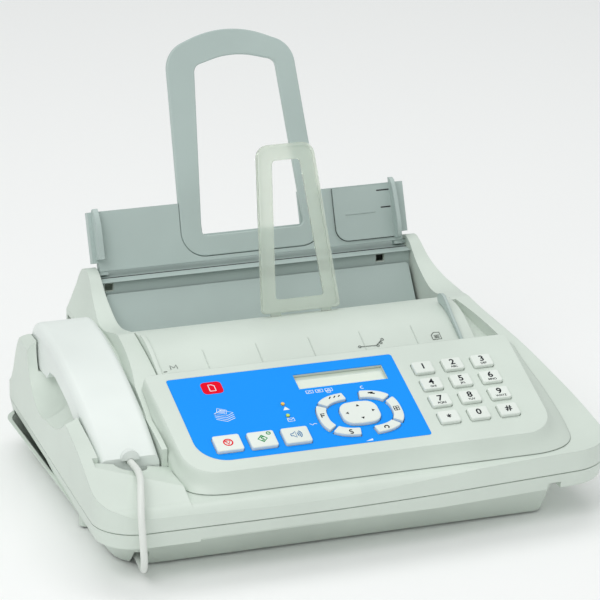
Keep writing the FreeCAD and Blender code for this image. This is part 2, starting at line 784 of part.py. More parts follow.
def status_lights():
    """Two light-emitting diodes behind the overlay."""
    lights = []
    for u, v in LIGHTS:
        dome = Part.makeSphere(1.2, Vector(u, v, -0.4))
        lights.append(rod((u, v, -6.2), Z_AXIS, 1.2, 5.8).fuse(dome).removeSplitter())
    return feature("status_lights", Part.makeCompound(lights), panel_placement(), refine=False)


def panel_board():
    """Circuit board under the keys with its rubber dome mat."""
    board = block((-108, -52, -8.6), (118, 30, -7))
    mat = block((-104, -46, -7), (114, 2, -6.2)).fuse(block((50, 2, -7), (114, 24, -6.2)))
    display = block((-32, 7, -7), (38, 27, -4.3))
    return feature("panel_board", board.fuse(mat).fuse(display), panel_placement())


def cap_key(name, u, v, width, depth):
    """Square key: a rounded block that slides through the panel."""
    body = new_body(name)
    outline = rectangle(body, name + "_plan", width, depth)
    block_pad = pad(body, outline, "Sizes.key_depth + Sizes.key_rise")
    corners = fillet(body, block_pad, "1.6", along_z)
    doc.recompute()
    top = fillet(body, corners, "0.7", at_height(size("key_depth") + size("key_rise")))
    body.Tip = top
    doc.recompute()
    return keep(body, name, panel_placement(u, v, -size("key_depth")))


def ring_key(name, first, last):
    """Curved key beside the navigation pad."""
    body = new_body(name)
    outline = drawn(body, name + "_plan", ring_curves(first, last))
    block_pad = pad(body, outline, "Sizes.key_depth + Sizes.key_rise - 0.4")
    corners = fillet(body, block_pad, "1", along_z)
    top = fillet(body, corners, "0.5", at_height(size("key_depth") + size("key_rise") - 0.4))
    body.Tip = top
    doc.recompute()
    return keep(body, name, panel_placement(size("nav_x"), size("nav_v"), -size("key_depth")))


def nav_pad():
    """Rocking pad on a stem that stands in its rubber seat."""
    body = new_body("nav_pad")
    plan = drawn(body, "nav_plan", nav_curves(), height=-2.2)
    disc = pad(body, plan, "Sizes.key_rise + 2.2")
    top = fillet(body, disc, "0.8", at_height(size("key_rise")))
    doc.recompute()
    stem = circle(body, "nav_stem", "2.2", height=-4.1)
    body.Tip = pad(body, stem, "2.4")
    doc.recompute()
    return keep(body, "nav_pad", panel_placement(size("nav_x"), size("nav_v")))


def nav_seat():
    """Rubber seat under the navigation pad."""
    body = new_body("nav_seat")
    plan = circle(body, "seat_plan", "5")
    pad(body, plan, "1.5")
    doc.recompute()
    return keep(body, "nav_seat", panel_placement(size("nav_x"), size("nav_v"), -5.8))


def keys():
    for name, u, v in key_rows():
        cap_key(name, u, v, "Sizes.pad_width", "Sizes.pad_depth")
    for name, u, v in FUNCTION_KEYS:
        cap_key(name, u, v, "Sizes.function_width", "Sizes.function_depth")
    for name, first, last in RING_KEYS:
        ring_key(name, first, last)
    nav_pad()
    nav_seat()


# ---------------------------------------------------------------- document side

RAMP_RIBS = (-76, -39, -2, 34, 71)
GUIDE_X = 101.5


def ramp_line(lower=0.0):
    """Top line of the document ramp from its rear seam to the front edge."""
    points = [(24, 105.2), (16, 105.6), (5, 104.6), (-6, 101.3), (-16, 96.6), (-26, 91.8), (-31.5, 89.5)]
    return [(y, z - lower) for y, z in points]


def document_cover():
    """Curved cover with its hinge barrel along the rear edge, and a raised left flange."""
    top, bottom = ramp_line(), ramp_line(2.6)
    skin = side_face([top, [top[-1], bottom[-1]], bottom[::-1], [bottom[0], top[0]]])
    half = size("ramp_half")
    cover = across(skin, -half, half)
    ends = side_face([ramp_line(), [(-31.5, 89.5), (-26, 82)], [(-26, 82), (20, 92)], [(20, 92), (24, 96)],
                      [(24, 96), (24, 105.2)]])
    for left in (-half, half - 3):
        cover = cover.fuse(across(ends, left, left + 3))
    flange_line = [(y, z + 2.2) for y, z in ramp_line()]
    flange = side_face([flange_line, [flange_line[-1], top[-1]], top[::-1], [top[0], flange_line[0]]])
    cover = cover.fuse(across(flange.common(block((-1, -31, 70), (1, 14, 120))), -half, -half + 3))
    ribs = [across(skin.translated(Vector(0, 0, 0.45)).common(block((-1, -31, 80), (1, -8, 104))), x, x + 0.5)
            for x in RAMP_RIBS]
    cover = cover.fuse(fuse_all(ribs))
    slot = block((GUIDE_X - 62.5, -29.3, 70), (GUIDE_X + 1.1, -26.8, 120))
    return feature("document_cover", cover.cut(slot))


def document_guide():
    """Leaf-shaped fin that slides along the ramp, on a foot through the ramp's slot."""
    fin = side_face([
        [(-30, 91), (-24, 95.5), (-10, 103.6), (2, 111), (10, 113.8), (15.5, 111.5), (16, 107)],
        [(16, 107), (14, 106.2)],
        [(14, 106.2), (5, 105.2), (-6, 101.9), (-16, 97.2), (-26, 92.4), (-30, 90.7)],
        [(-30, 90.7), (-30, 91)],
    ])
    guide = across(fin, GUIDE_X - 1, GUIDE_X + 1)
    foot = block((GUIDE_X - 0.8, -29, 84), (GUIDE_X + 0.8, -27.1, 92.4))
    return feature("document_guide", guide.fuse(foot))


def support_wires():
    """Outer and inner outline of the document support, seen square on."""
    height = size("support_height")
    outer = rounded_curves([(-28.2, 0), (28.2, 0), (20.3, height), (-20.3, height)], (3, 3, 9, 9))
    inner = rounded_curves([(-17.2, 9), (17.2, 9), (10, height - 11), (-10, height - 11)], (2, 2, 3, 3))
    return outer, inner


def document_support():
    """Clear frame with raised rims that plugs into the lip behind the ramp."""
    body = new_body("document_support")
    outer, inner = support_wires()
    pad(body, drawn(body, "support_plan", outer), "1.6")
    pocket(body, drawn(body, "support_window", inner, height=1.6), "5")
    doc.recompute()
    top = size("support_height")
    rim = [(-27.7, 0.5), (27.7, 0.5), (19.8, top - 0.5), (-19.8, top - 0.5)]
    groove = [(-25.9, 2.2), (25.9, 2.2), (18.2, top - 2.2), (-18.2, top - 2.2)]
    ring = rounded_curves(rim, (3, 3, 8.6, 8.6)) + rounded_curves(groove, (2, 2, 7, 7))
    pad(body, drawn(body, "support_rim", ring, height=1.5), "1.5")
    hooks = []
    for x in (-18, 18):
        hooks += [line((x - 3.6, -6, 0), (x + 3.6, -6, 0)), line((x + 3.6, -6, 0), (x + 3.6, 1, 0)),
                  line((x + 3.6, 1, 0), (x - 3.6, 1, 0)), line((x - 3.6, 1, 0), (x - 3.6, -6, 0))]
    body.Tip = pad(body, drawn(body, "support_hooks", hooks), "1.2")
    doc.recompute()
    return keep(body, "document_support", support_placement())


# ---------------------------------------------------------------- paper side

def flap_placement():
    lean = Rotation(X_AXIS, -size("flap_lean"))
    return Placement(Vector(0, size("flap_y"), size("flap_z")), lean)


def flap_solid():
    """Plate with side flanges and the recess of the extension frame; z runs up the flap."""
    half = size("flap_thickness") / 2
    height = size("flap_height")
    plate = block((-115.2, -half, 7), (115.2, half, height))
    plate = plate.fuse(block((-110.8, -half, 1), (110.8, half, 7)))
    for left in (-110.8, 104.8):
        plate = plate.fuse(block((left, -2.4, -1.6), (left + 6, 2.4, 1)))
    for left in (-115.6, 105):
        plate = plate.fuse(rod((left, 0, 0), X_AXIS, 1.5, 10.6))
    flange = across(side_face([
        [(-half - 9, 9), (-half, 9)], [(-half, 9), (-half, height + 1)],
        [(-half, height + 1), (-half - 3, height + 2)],
        [(-half - 3, height + 2), (-half - 6.5, height - 3), (-half - 9, height - 16), (-half - 9, 9)],
    ]), -112.4, -108.6)
    recess = along_frame(frame_outline(0.5), -half - 1, -half + size("frame_thickness") + 0.3)
    seat_rear = -half + size("frame_thickness") + 0.3
    open_top = block((-49.7, -half - 1, height - 14), (53.7, seat_rear, height + 1))
    window = block((-34, -half - 1, 19.5), (38, half + 1, height + 1))
    return plate.fuse(flange).cut(recess).cut(open_top).cut(window)


def frame_outline(grow=0.0):
    """Arched outer outline of the extension frame, as curves in (x, z)."""
    height = size("frame_height")
    foot, shoulder = 52.5 + grow, 43 + grow
    middle = 2
    side_top = height - 13 + grow
    points = [(middle - foot, 4.2 - grow), (middle + foot, 4.2 - grow), (middle + shoulder, side_top),
              (middle - 3.5, height + 6.5 + grow), (middle - shoulder - 6, side_top + 2)]
    return rounded_curves(points, (17 + grow, 17 + grow, 20, 72, 20))


def frame_window():
    height = size("frame_height")
    points = [(-35.5, 18.2), (39.5, 18.2), (31.5, height - 23), (2, height - 15), (-27.5, height - 23)]
    return rounded_curves(points, (4, 4, 6, 60, 6))


def along_frame(curves, front, rear):
    """Outline in (x, z) swept from front to rear."""
    wire = Part.Wire([curve.toShape() for curve in curves])
    wire.rotate(Vector(), X_AXIS, 90)
    return Part.Face(wire).translated(Vector(0, front, 0)).extrude(Vector(0, rear - front, 0))


def paper_support():
    return feature("paper_support", flap_solid(), flap_placement())


def support_extension():
    """Arched ring that slides up out of the flap's recess."""
    body = new_body("support_extension")
    ring = drawn(body, "frame_plan", frame_outline() + frame_window(), "XZ_Plane")
    ring_pad = pad(body, ring, "Sizes.frame_thickness")
    doc.recompute()
    rounded = body.newObject("PartDesign::Fillet", "frame_round")
    front = min(ring_pad.Shape.BoundBox.YMin, 0)
    names = [f"Edge{i}" for i, edge in enumerate(ring_pad.Shape.Edges, start=1)
             if abs(edge.BoundBox.YMin - front) < 1e-4 and abs(edge.BoundBox.YMax - front) < 1e-4]
    rounded.Base = (ring_pad, names)
    rounded.Radius = 0.8
    body.Tip = rounded
    doc.recompute()
    depth = Vector(0, -size("flap_thickness") / 2 + size("frame_thickness") + 0.1, 0)
    return keep(body, "support_extension", flap_placement().multiply(Placement(depth, Rotation())))


def paper_guide():
    """Sliding plate with a rounded fin that holds the paper's right edge."""
    front = -size("flap_thickness") / 2 - 0.3
    outline = rounded_curves([(62, 4), (107, 4), (107, 41), (62, 41)], (9, 1, 1, 1))
    plate = along_frame(outline, front - 1.5, front)
    fin = across(side_face([
        [(front - 1, 3.4), (front - 7, 3.6), (front - 9.5, 8), (front - 9.8, 20), (front - 8, 34),
         (front - 3.5, 44.4), (front, 45.5)],
        [(front, 45.5), (front, 3.4)],
        [(front, 3.4), (front - 1, 3.4)],
    ]), 104.4, 107.4)
    label_line = block((70, front - 1.9, 22), (92, front - 1.5, 22.6))
    return feature("paper_guide", plate.fuse(fin).fuse(label_line), flap_placement())


def through_plate(edge):
    box = edge.BoundBox
    return box.YLength > 1 and box.XLength < 1e-4 and box.ZLength < 1e-4


def pressure_plate():
    """Sprung plate that lifts the paper against the pickup roller."""
    top = Vector(0, size("plate_top_y"), size("plate_top_z"))
    angle = math.degrees(math.atan2(43.6, 59.2))
    body = new_body("pressure_plate")
    plan = rectangle(body, "plate_plan", "2 * Sizes.slot_half - 5", "70", "XZ_Plane")
    plate = pad(body, plan, "1.6", True)
    body.Tip = fillet(body, plate, "2.5", through_plate)
    doc.recompute()
    turn = Rotation(X_AXIS, -angle)
    centre = top + turn.multVec(Vector(0, 0.9, -35))
    return keep(body, "pressure_plate", Placement(centre, turn))


def roller(label, centre, radius, half, reach, gear, gear_radius):
    """Roller turned about X: rubber sleeve, axle and an end gear blank."""
    body = new_body(label)
    axle = size("axle_radius")
    outline = [
        (-reach, 0), (-reach, axle), (-half, axle), (-half, radius), (half, radius), (half, axle),
        (gear, axle), (gear, gear_radius), (gear + 4, gear_radius), (gear + 4, axle), (reach, axle),
        (reach, 0),
    ]
    curves = [line((*outline[i], 0), (*outline[(i + 1) % len(outline)], 0)) for i in range(len(outline))]
    sketch = drawn(body, label + "_profile", curves)
    turned = body.newObject("PartDesign::Revolution", label + "_turned")
    turned.Profile = sketch
    turned.ReferenceAxis = (sketch, ["H_Axis"])
    turned.Angle = 360
    body.Tip = turned
    doc.recompute()
    return keep(body, label, Placement(centre, Rotation()))


FEED_AXIS = Vector(0, -44, 20)
EXIT_AXIS = Vector(0, -99, 21.5)


def rollers():
    roller("pickup_roller", pickup_centre(), size("pickup_radius"), 70, 117.5, 100, 9)
    roller("feed_roller", FEED_AXIS, size("feed_radius"), 104, 117, 107, 8.5)
    roller("exit_roller", EXIT_AXIS, size("exit_radius"), 104, 117, 107, 7.5)


# ---------------------------------------------------------------- print and scan works

def print_frame():
    """Moulded chassis: two cheeks with the shaft's and rollers' bearings, and the platen."""
    low = size("foot_height") + WALL
    cheeks = [block((x, -108, low), (x + 3, -34, 60)) for x in (-116.5, 113.5)]
    platen = block((-116.5, -90, 24), (116.5, -55, 27))
    foot = block((-116.5, -60, low), (116.5, -57, 24))
    stub = rod((-100, -52.5, 51), Y_AXIS, 5, 9).fuse(block((-116.5, -46.5, 44), (-94, -43.5, 58)))
    frame = fuse_all(cheeks + [platen, foot, stub])
    motor_wall = block((86, -46.5, 36), (116.5, -43.5, 66)).cut(rod((100, -50, 51), Y_AXIS, 4, 12))
    frame = frame.fuse(motor_wall)
    radius = size("axle_radius") + size("axle_play")
    for axis in (FEED_AXIS, EXIT_AXIS):
        frame = frame.cut(rod((-125, axis.y, axis.z), X_AXIS, radius, 250))
    frame = frame.cut(rod((-125, size("shaft_y"), size("shaft_z")), X_AXIS, size("shaft_radius"), 250))
    return feature("print_frame", frame)


def carriage_shaft():
    shaft = rod((-117, size("shaft_y"), size("shaft_z")), X_AXIS, size("shaft_radius"), 234)
    return feature("carriage_shaft", shaft)


def print_carriage():
    """Carriage that holds the cartridge in an open tray, with a clamp over the belt."""
    tray = block((-98, -90, 34), (-60, -60, 64)).cut(block((-96, -88, 58), (-62, -62, 65)))
    tray = tray.cut(block((-96, -88, 36), (-62, -78, 65)))
    tray = tray.cut(block((-84.4, -86.4, 33), (-73.6, -80.6, 37)))
    bore = rod((-120, size("shaft_y"), size("shaft_z")), X_AXIS, size("shaft_radius") + 0.08, 90)
    clamp = block((-84, -61, 59), (-74, -47.8, 60.6)).fuse(block((-84, -49.4, 57.7), (-74, -47.8, 59)))
    return feature("print_carriage", tray.cut(bore).fuse(clamp))


def ink_cartridge():
    """Cartridge standing in the carriage, with the print head at its foot."""
    tank = block((-95.5, -87.5, 58.3), (-62.5, -62.5, 67))
    tank = tank.fuse(block((-95.5, -87.5, 36.5), (-62.5, -78.6, 58.3)))
    nozzle = block((-84, -86, 30.5), (-74, -81, 36.5))
    return feature("ink_cartridge", tank.fuse(nozzle))


def carriage_motor():
    can = rod((100, -43.4, 51), Y_AXIS, 13, 20)
    return feature("carriage_motor", can.fuse(rod((100, -46.4, 51), Y_AXIS, 3.8, 4)))


def motor_pulley():
    """Toothed pulley on the motor's shaft."""
    pulley = rod((100, -53, 51), Y_AXIS, 4.7, 6)
    return feature("motor_pulley", pulley.fuse(rod((100, -54, 51), Y_AXIS, 6.2, 1.1)))


def drive_belt():
    """Toothed belt round the motor pulley and the frame's stub."""
    outer = rounded_curves(box_points(-106.3, 106.3, 44.7, 57.3), (6.29, 6.29, 6.29, 6.29))
    inner = rounded_curves(box_points(-105.2, 105.2, 45.8, 56.2), (5.19, 5.19, 5.19, 5.19))
    belt = along_frame(outer, -52.4, -47.6).cut(along_frame(inner, -53, -47))
    return feature("drive_belt", belt)


def scan_sensor():
    """Contact image sensor bar under the ramp."""
    body = new_body("scan_sensor")
    plan = rectangle(body, "sensor_plan", "2 * Sizes.ramp_half - 8", "14")
    bar = pad(body, plan, "11")
    body.Tip = fillet(body, bar, "1.2", at_height(11))
    doc.recompute()
    return keep(body, "scan_sensor", Placement(Vector(0, -18, 66), Rotation()))


# ---------------------------------------------------------------- electrics

def main_board():
    board = block((-96, 6, 9), (64, 94, 10.6))
    posts = [block((x - 3, y - 3, 4.1), (x + 3, y + 3, 9)) for x in (-90, 58) for y in (12, 88)]
    chips = [block((-60, 30, 10.6), (-30, 60, 13.4)), block((-10, 24, 10.6), (10, 44, 13)),
             block((28, 60, 10.6), (44, 84, 12.8)), block((-88, 70, 10.6), (-60, 88, 20))]
    return feature("main_board", fuse_all([board] + posts + chips))


def power_supply():
    board = block((-160, -26, 9), (-104, 58, 10.6))
    posts = [block((x - 2.5, y - 2.5, 4.1), (x + 2.5, y + 2.5, 9)) for x in (-154, -110) for y in (-20, 50)]
    works = [block((-150, 0, 10.6), (-120, 28, 34)), rod((-128, 42, 10.6), Z_AXIS, 9, 24),
             block((-116, -18, 10.6), (-110, 12, 30))]
    return feature("power_supply", fuse_all([board] + posts + works))


def speaker():
    """Small cone speaker lying in the right overhang."""
    body = new_body("speaker")
    outline = [(0, 0), (9, 0), (9, 5), (15.5, 9), (15.5, 11), (13.5, 11), (6, 7.2), (0, 7.2)]
    curves = [line((*outline[i], 0), (*outline[(i + 1) % len(outline)], 0)) for i in range(len(outline))]
    turned = body.newObject("PartDesign::Revolution", "speaker_turned")
    sketch = drawn(body, "speaker_profile", curves, "XZ_Plane")
    turned.Profile = sketch
    turned.ReferenceAxis = (sketch, ["V_Axis"])
    turned.Angle = 360
    body.Tip = turned
    doc.recompute()
    return keep(body, "speaker", Placement(Vector(140, 20, 29.6), Rotation()))


def mains_inlet():
    """Two-pin appliance inlet in the rear wall."""
    housing = block((-105, 106, 44), (-83, 123.6, 64)).cut(block((-103, 111, 47), (-85, 125, 61)))
    pins = [rod((x, 108, 54), Y_AXIS, 1.2, 13) for x in (-98.3, -89.7)]
    return feature("mains_inlet", housing.fuse(fuse_all(pins)))


def jack():
    """Modular jack: a block with a stepped mouth, its mouth towards +Y."""
    shell = block((-7.5, -13, -5), (7.5, 0, 9))
    mouth = block((-5.5, -9, -2.6), (5.5, 1, 3.4)).fuse(block((-2, -9, 3.4), (2, 1, 6)))
    return shell.cut(mouth)


def phone_jacks():
    """Line and extension jacks at the rear, handset jack under the front left corner."""
    rear = [jack().translated(Vector(x, 121.2, 49.4)) for x in (64, 82)]
    front = jack()
    front.rotate(Vector(), Z_AXIS, 180)
    front.translate(Vector(-152, -73.9, 7.2))
    return feature("phone_jacks", Part.makeCompound(rear + [front]), refine=False)


# ---------------------------------------------------------------- handset

def handset_solid(inset=0.0):
    half = size("handset_width") / 2 - inset
    middle = size("handset_x")
    return across(inset_face(handset_side(), inset), middle - half, middle + half)


def seam_side():
    """Region above the seam between the handset's two shells."""
    seam = [(-100, 53), (-91, 59), (-80, 64.5), (-62, 73.5), (-40, 82.5), (-10, 92), (20, 98.5),
            (45, 100.5), (66, 96), (74, 93)]
    region = side_face([seam, [(74, 93), (74, 130)], [(74, 130), (-100, 130)], [(-100, 130), (-100, 53)]])
    return across(region, -185, -120)


def long_top_edges(shape):
    """Upper long edges of the handset, which are rounded."""
    edges = []
    for edge in shape.Edges:
        box = edge.BoundBox
        if box.XLength < 1e-4 and box.YLength > 100 and box.ZMax > 105:
            edges.append(edge)
    return edges


def handset_shells():
    whole = handset_solid()
    rounded = whole.makeFillet(5, long_top_edges(whole))
    hollow = handset_solid(size("handset_wall"))
    outlet = rod((-152, -100, 64.4), Y_AXIS, size("cord_diameter") / 2 + 0.2, 14)
    top = rounded.common(seam_side()).cut(hollow).cut(outlet)
    base = rounded.cut(seam_side()).cut(hollow).cut(outlet)
    hood = rod((-152, -93.4, 66.2), Y_AXIS, 6, 4).common(block((-160, -93.4, 65.6), (-144, -89.5, 80)))
    top = top.fuse(hood.cut(hollow)).cut(outlet)
    lug = block((-156, -97.5, 51.5), (-148, -90.5, 57.5)).cut(hollow)
    base = base.fuse(lug)
    base = base.cut(block((-158, -87, 56), (-146, -70, 68)))
    feature("handset_top", max(top.Solids, key=lambda piece: piece.Volume))
    feature("handset_base", max(base.Solids, key=lambda piece: piece.Volume))


def handset_plug():
    """Modular plug inside the handset's end, on which the cord ends."""
    plug = block((-157.5, -86.4, 59.9), (-146.5, -75.5, 65.9))
    stem = rod((-152, -88.4, 64.4), Y_AXIS, size("cord_diameter") / 2 - 0.1, 2)
    return feature("handset_plug", plug.fuse(stem))


def hook_button():
    """Plunger that the handset holds down."""
    body = new_body("hook_button")
    plan = rectangle(body, "hook_plan", "8", "6")
    plunger = pad(body, plan, "16")
    body.Tip = fillet(body, plunger, "1.4", at_height(16))
    doc.recompute()
    return keep(body, "hook_button", Placement(Vector(-152, 43, 62.9), Rotation()))


CORD_ROUTE = (
    (-152, -88.4, 64.4), (-152, -97, 64.4), (-152.6, -110, 66.0), (-155.4, -126, 66.6), (-160.6, -142, 63.0),
    (-163.6, -152.6, 51), (-163.4, -155.4, 37), (-161.2, -151, 22), (-157.6, -139, 9.5),
    (-154.0, -124, 5.4), (-152.2, -109, 5.2), (-152, -95, 6.4), (-152, -80, 7.2), (-152, -64.9, 7.2),
)


def cord_path():
    """Straight runs joined by tangent arcs; returns the edges, their length and the radii."""
    points = [Vector(*point) for point in CORD_ROUTE]
    edges, radii = [], []
    start = points[0]
    for before, corner, after in zip(points, points[1:], points[2:]):
        back, forward = before - corner, after - corner
        turn = math.pi - back.getAngle(forward)
        reach = 0.45 * min(back.Length, forward.Length)
        radius = reach / math.tan(turn / 2)
        radii.append(radius)
        back.normalize()
        forward.normalize()
        bisector = (back + forward).normalize()
        centre_far = radius / math.cos(turn / 2)
        first, last = corner + back * reach, corner + forward * reach
        middle = corner + bisector * (centre_far - radius)
        edges.append(Part.LineSegment(start, first).toShape())
        edges.append(Part.Arc(first, middle, last).toShape())
        start = last
    edges.append(Part.LineSegment(start, points[-1]).toShape())
    return edges, radii


def handset_cord():
    edges, radii = cord_path()
    path = Part.Wire(edges)
    radius = size("cord_diameter") / 2
    first = Vector(*CORD_ROUTE[0])
    direction = (Vector(*CORD_ROUTE[1]) - first).normalize()
    section = Part.Wire([Part.makeCircle(radius, first, direction)])
    tube = path.makePipeShell([section], True, False, 2)
    expected = math.pi * radius ** 2 * path.Length
    print("cord length", round(path.Length, 1), "radii", [round(r, 1) for r in radii])
    print("cord volume over section times length", round(tube.Volume / expected, 4))
    return feature("handset_cord", tube, refine=False)


# ---------------------------------------------------------------- build, check and write

def build():
    lower_casing()
    upper_casing()
    rubber_feet()
    casing_screws()
    console_cover()
    panel_overlay()
    lcd_window()
    status_lights()
    panel_board()
    keys()
    document_cover()
    document_guide()
    document_support()
    paper_support()
    support_extension()
    paper_guide()
    pressure_plate()
    rollers()
    print_frame()
    carriage_shaft()
    print_carriage()
    ink_cartridge()
    carriage_motor()
    motor_pulley()
    drive_belt()
    scan_sensor()
    main_board()
    power_supply()
    speaker()
    mains_inlet()
    phone_jacks()
    handset_shells()
    handset_plug()
    hook_button()
    handset_cord()
    doc.recompute()


def check():
    """Stops on any failed object, null or invalid shape."""
    for obj in doc.Objects:
        if "Invalid" in obj.State or "Error" in obj.State:
            raise RuntimeError("failed object " + obj.Name)
    bad = [obj.Label for obj in nodes
           if obj.Shape.isNull() or not obj.Shape.isValid() or obj.Shape.Volume <= 0]
    if bad:
        raise RuntimeError("bad shapes " + ", ".join(bad))


def write():
    os.makedirs("parts", exist_ok=True)
    for obj in nodes:
        obj.Shape.exportStep(f"parts/{obj.Label}.step")
        print(f"{obj.Label:18s} solids {len(obj.Shape.Solids)} volume {obj.Shape.Volume:10.0f}")
    print("nodes", len(nodes))


build()
check()
write()
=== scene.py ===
import json
import math

import bmesh
import bpy
from mathutils import Matrix, Vector


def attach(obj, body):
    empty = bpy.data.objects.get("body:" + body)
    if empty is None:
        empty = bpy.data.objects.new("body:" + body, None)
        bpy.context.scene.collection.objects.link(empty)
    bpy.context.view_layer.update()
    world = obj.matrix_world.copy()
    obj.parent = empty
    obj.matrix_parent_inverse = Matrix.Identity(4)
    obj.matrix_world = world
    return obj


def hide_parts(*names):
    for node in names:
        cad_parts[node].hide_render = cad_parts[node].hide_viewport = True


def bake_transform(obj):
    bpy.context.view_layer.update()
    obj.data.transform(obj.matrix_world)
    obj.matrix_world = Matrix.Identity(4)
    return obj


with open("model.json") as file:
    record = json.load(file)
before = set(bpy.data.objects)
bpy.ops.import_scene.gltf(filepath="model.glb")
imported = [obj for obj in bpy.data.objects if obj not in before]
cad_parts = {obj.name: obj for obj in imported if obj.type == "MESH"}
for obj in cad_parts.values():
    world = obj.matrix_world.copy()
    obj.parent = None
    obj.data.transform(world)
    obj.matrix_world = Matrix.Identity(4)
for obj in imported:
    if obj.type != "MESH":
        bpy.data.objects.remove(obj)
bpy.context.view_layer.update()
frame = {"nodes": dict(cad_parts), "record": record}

MM = 0.001
FULL_FRAME = 36
# The row frame's origin in the design frame of the machine, in millimetres.
ORIGIN = Vector((-8.3, 9.3, 0.0))
SLOPE = math.radians(20.2)


# ---------------------------------------------------------------- places

def place(x, y, z):
    """Point of the design frame, in millimetres, as a point of the row frame in metres."""
    return (Vector((x, y, z)) - ORIGIN) * MM


def plane(corner, tilt):
    """Matrix of a drawing plane: millimetres across, up its slope and out of it."""
    across = Vector((1, 0, 0))
    up = Vector((0, math.cos(tilt), math.sin(tilt)))
    out = Vector((0, -math.sin(tilt), math.cos(tilt)))
    turn = Matrix((across, up, out)).transposed().to_4x4()
    return Matrix.Translation(corner) @ turn @ Matrix.Scale(MM, 4)


PANEL = plane(place(0, -73, 84.5), SLOPE)
RAMP = plane(place(0, -21, 94.45), math.radians(25.6))
FLAP = plane(place(0, 109.8, 117.8), math.radians(69))
SLOT_WALL = plane(place(0, 99, 0), math.radians(90))
SHELF = plane(place(0, 0, 115.3), 0)


# ---------------------------------------------------------------- materials

def new_material(name):
    material = bpy.data.materials.new(name)
    material.use_nodes = True
    tree = material.node_tree
    return material, tree, tree.nodes["Principled BSDF"]


def moulded(name, colour, roughness=0.45, grain=0.05, variation=0.035, edge=0.0006, coat=0.0, shine=0.5):
    """Moulded plastic: faint colour drift, a fine spark-eroded grain and softened edges."""
    material, tree, shader = new_material(name)
    nodes, links = tree.nodes, tree.links
    shader.inputs["Roughness"].default_value = roughness
    shader.inputs["Specular IOR Level"].default_value = shine
    shader.inputs["Coat Weight"].default_value = coat
    shader.inputs["Coat Roughness"].default_value = 0.12
    place_node = nodes.new("ShaderNodeTexCoord")
    drift = nodes.new("ShaderNodeTexNoise")
    drift.inputs["Scale"].default_value = 14
    drift.inputs["Detail"].default_value = 3
    links.new(place_node.outputs["Object"], drift.inputs["Vector"])
    ramp = nodes.new("ShaderNodeValToRGB")
    dark = [c * (1 - variation) for c in colour]
    light = [min(1, c * (1 + variation)) for c in colour]
    ramp.color_ramp.elements[0].position = 0.35
    ramp.color_ramp.elements[0].color = (*dark, 1)
    ramp.color_ramp.elements[1].position = 0.65
    ramp.color_ramp.elements[1].color = (*light, 1)
    links.new(drift.outputs["Fac"], ramp.inputs["Fac"])
    links.new(ramp.outputs["Color"], shader.inputs["Base Color"])
    fine = nodes.new("ShaderNodeTexNoise")
    fine.inputs["Scale"].default_value = 2600
    fine.inputs["Detail"].default_value = 2
    links.new(place_node.outputs["Object"], fine.inputs["Vector"])
    bump = nodes.new("ShaderNodeBump")
    bump.inputs["Strength"].default_value = grain
    bump.inputs["Distance"].default_value = 0.0002
    links.new(fine.outputs["Fac"], bump.inputs["Height"])
    rounding = nodes.new("ShaderNodeBevel")
    rounding.samples = 6
    rounding.inputs["Radius"].default_value = edge
    links.new(rounding.outputs["Normal"], bump.inputs["Normal"])
    links.new(bump.outputs["Normal"], shader.inputs["Normal"])
    return material


def clear_plastic(name, colour, roughness, transmission):
    """Clear moulding, a little milky, with faint flow marks."""
    material, tree, shader = new_material(name)
    shader.inputs["Base Color"].default_value = (*colour, 1)
    shader.inputs["Transmission Weight"].default_value = transmission
    shader.inputs["IOR"].default_value = 1.46
    place_node = tree.nodes.new("ShaderNodeTexCoord")
    flow = tree.nodes.new("ShaderNodeTexNoise")
    flow.inputs["Scale"].default_value = 60
    spread = tree.nodes.new("ShaderNodeMapRange")
    spread.inputs["To Min"].default_value = roughness * 0.8
    spread.inputs["To Max"].default_value = roughness * 1.2
    tree.links.new(place_node.outputs["Object"], flow.inputs["Vector"])
    tree.links.new(flow.outputs["Fac"], spread.inputs["Value"])
    tree.links.new(spread.outputs["Result"], shader.inputs["Roughness"])
    return material


def metal(name, colour, roughness):
    """Plated metal with fine brushing along X."""
    material, tree, shader = new_material(name)
    shader.inputs["Base Color"].default_value = (*colour, 1)
    shader.inputs["Metallic"].default_value = 1.0
    place_node = tree.nodes.new("ShaderNodeTexCoord")
    stretch = tree.nodes.new("ShaderNodeMapping")
    stretch.inputs["Scale"].default_value = (20, 900, 900)
    brush = tree.nodes.new("ShaderNodeTexNoise")
    brush.inputs["Scale"].default_value = 2
    spread = tree.nodes.new("ShaderNodeMapRange")
    spread.inputs["To Min"].default_value = roughness * 0.7
    spread.inputs["To Max"].default_value = roughness * 1.3
    tree.links.new(place_node.outputs["Object"], stretch.inputs["Vector"])
    tree.links.new(stretch.outputs["Vector"], brush.inputs["Vector"])
    tree.links.new(brush.outputs["Fac"], spread.inputs["Value"])
    tree.links.new(spread.outputs["Result"], shader.inputs["Roughness"])
    return material


def matt_ink_and_shade(name, colour, shine=0.05):
    """Matt printing ink; also the matt dark grey of the painted shade in the ramp's engraved signs."""
    return moulded(name, colour, 0.6, grain=0.0, variation=0.01, edge=0.00005, shine=shine)


def lens(name, colour):
    """Coloured lens of a status light."""
    return moulded(name, colour, 0.25, grain=0.0, variation=0.02)


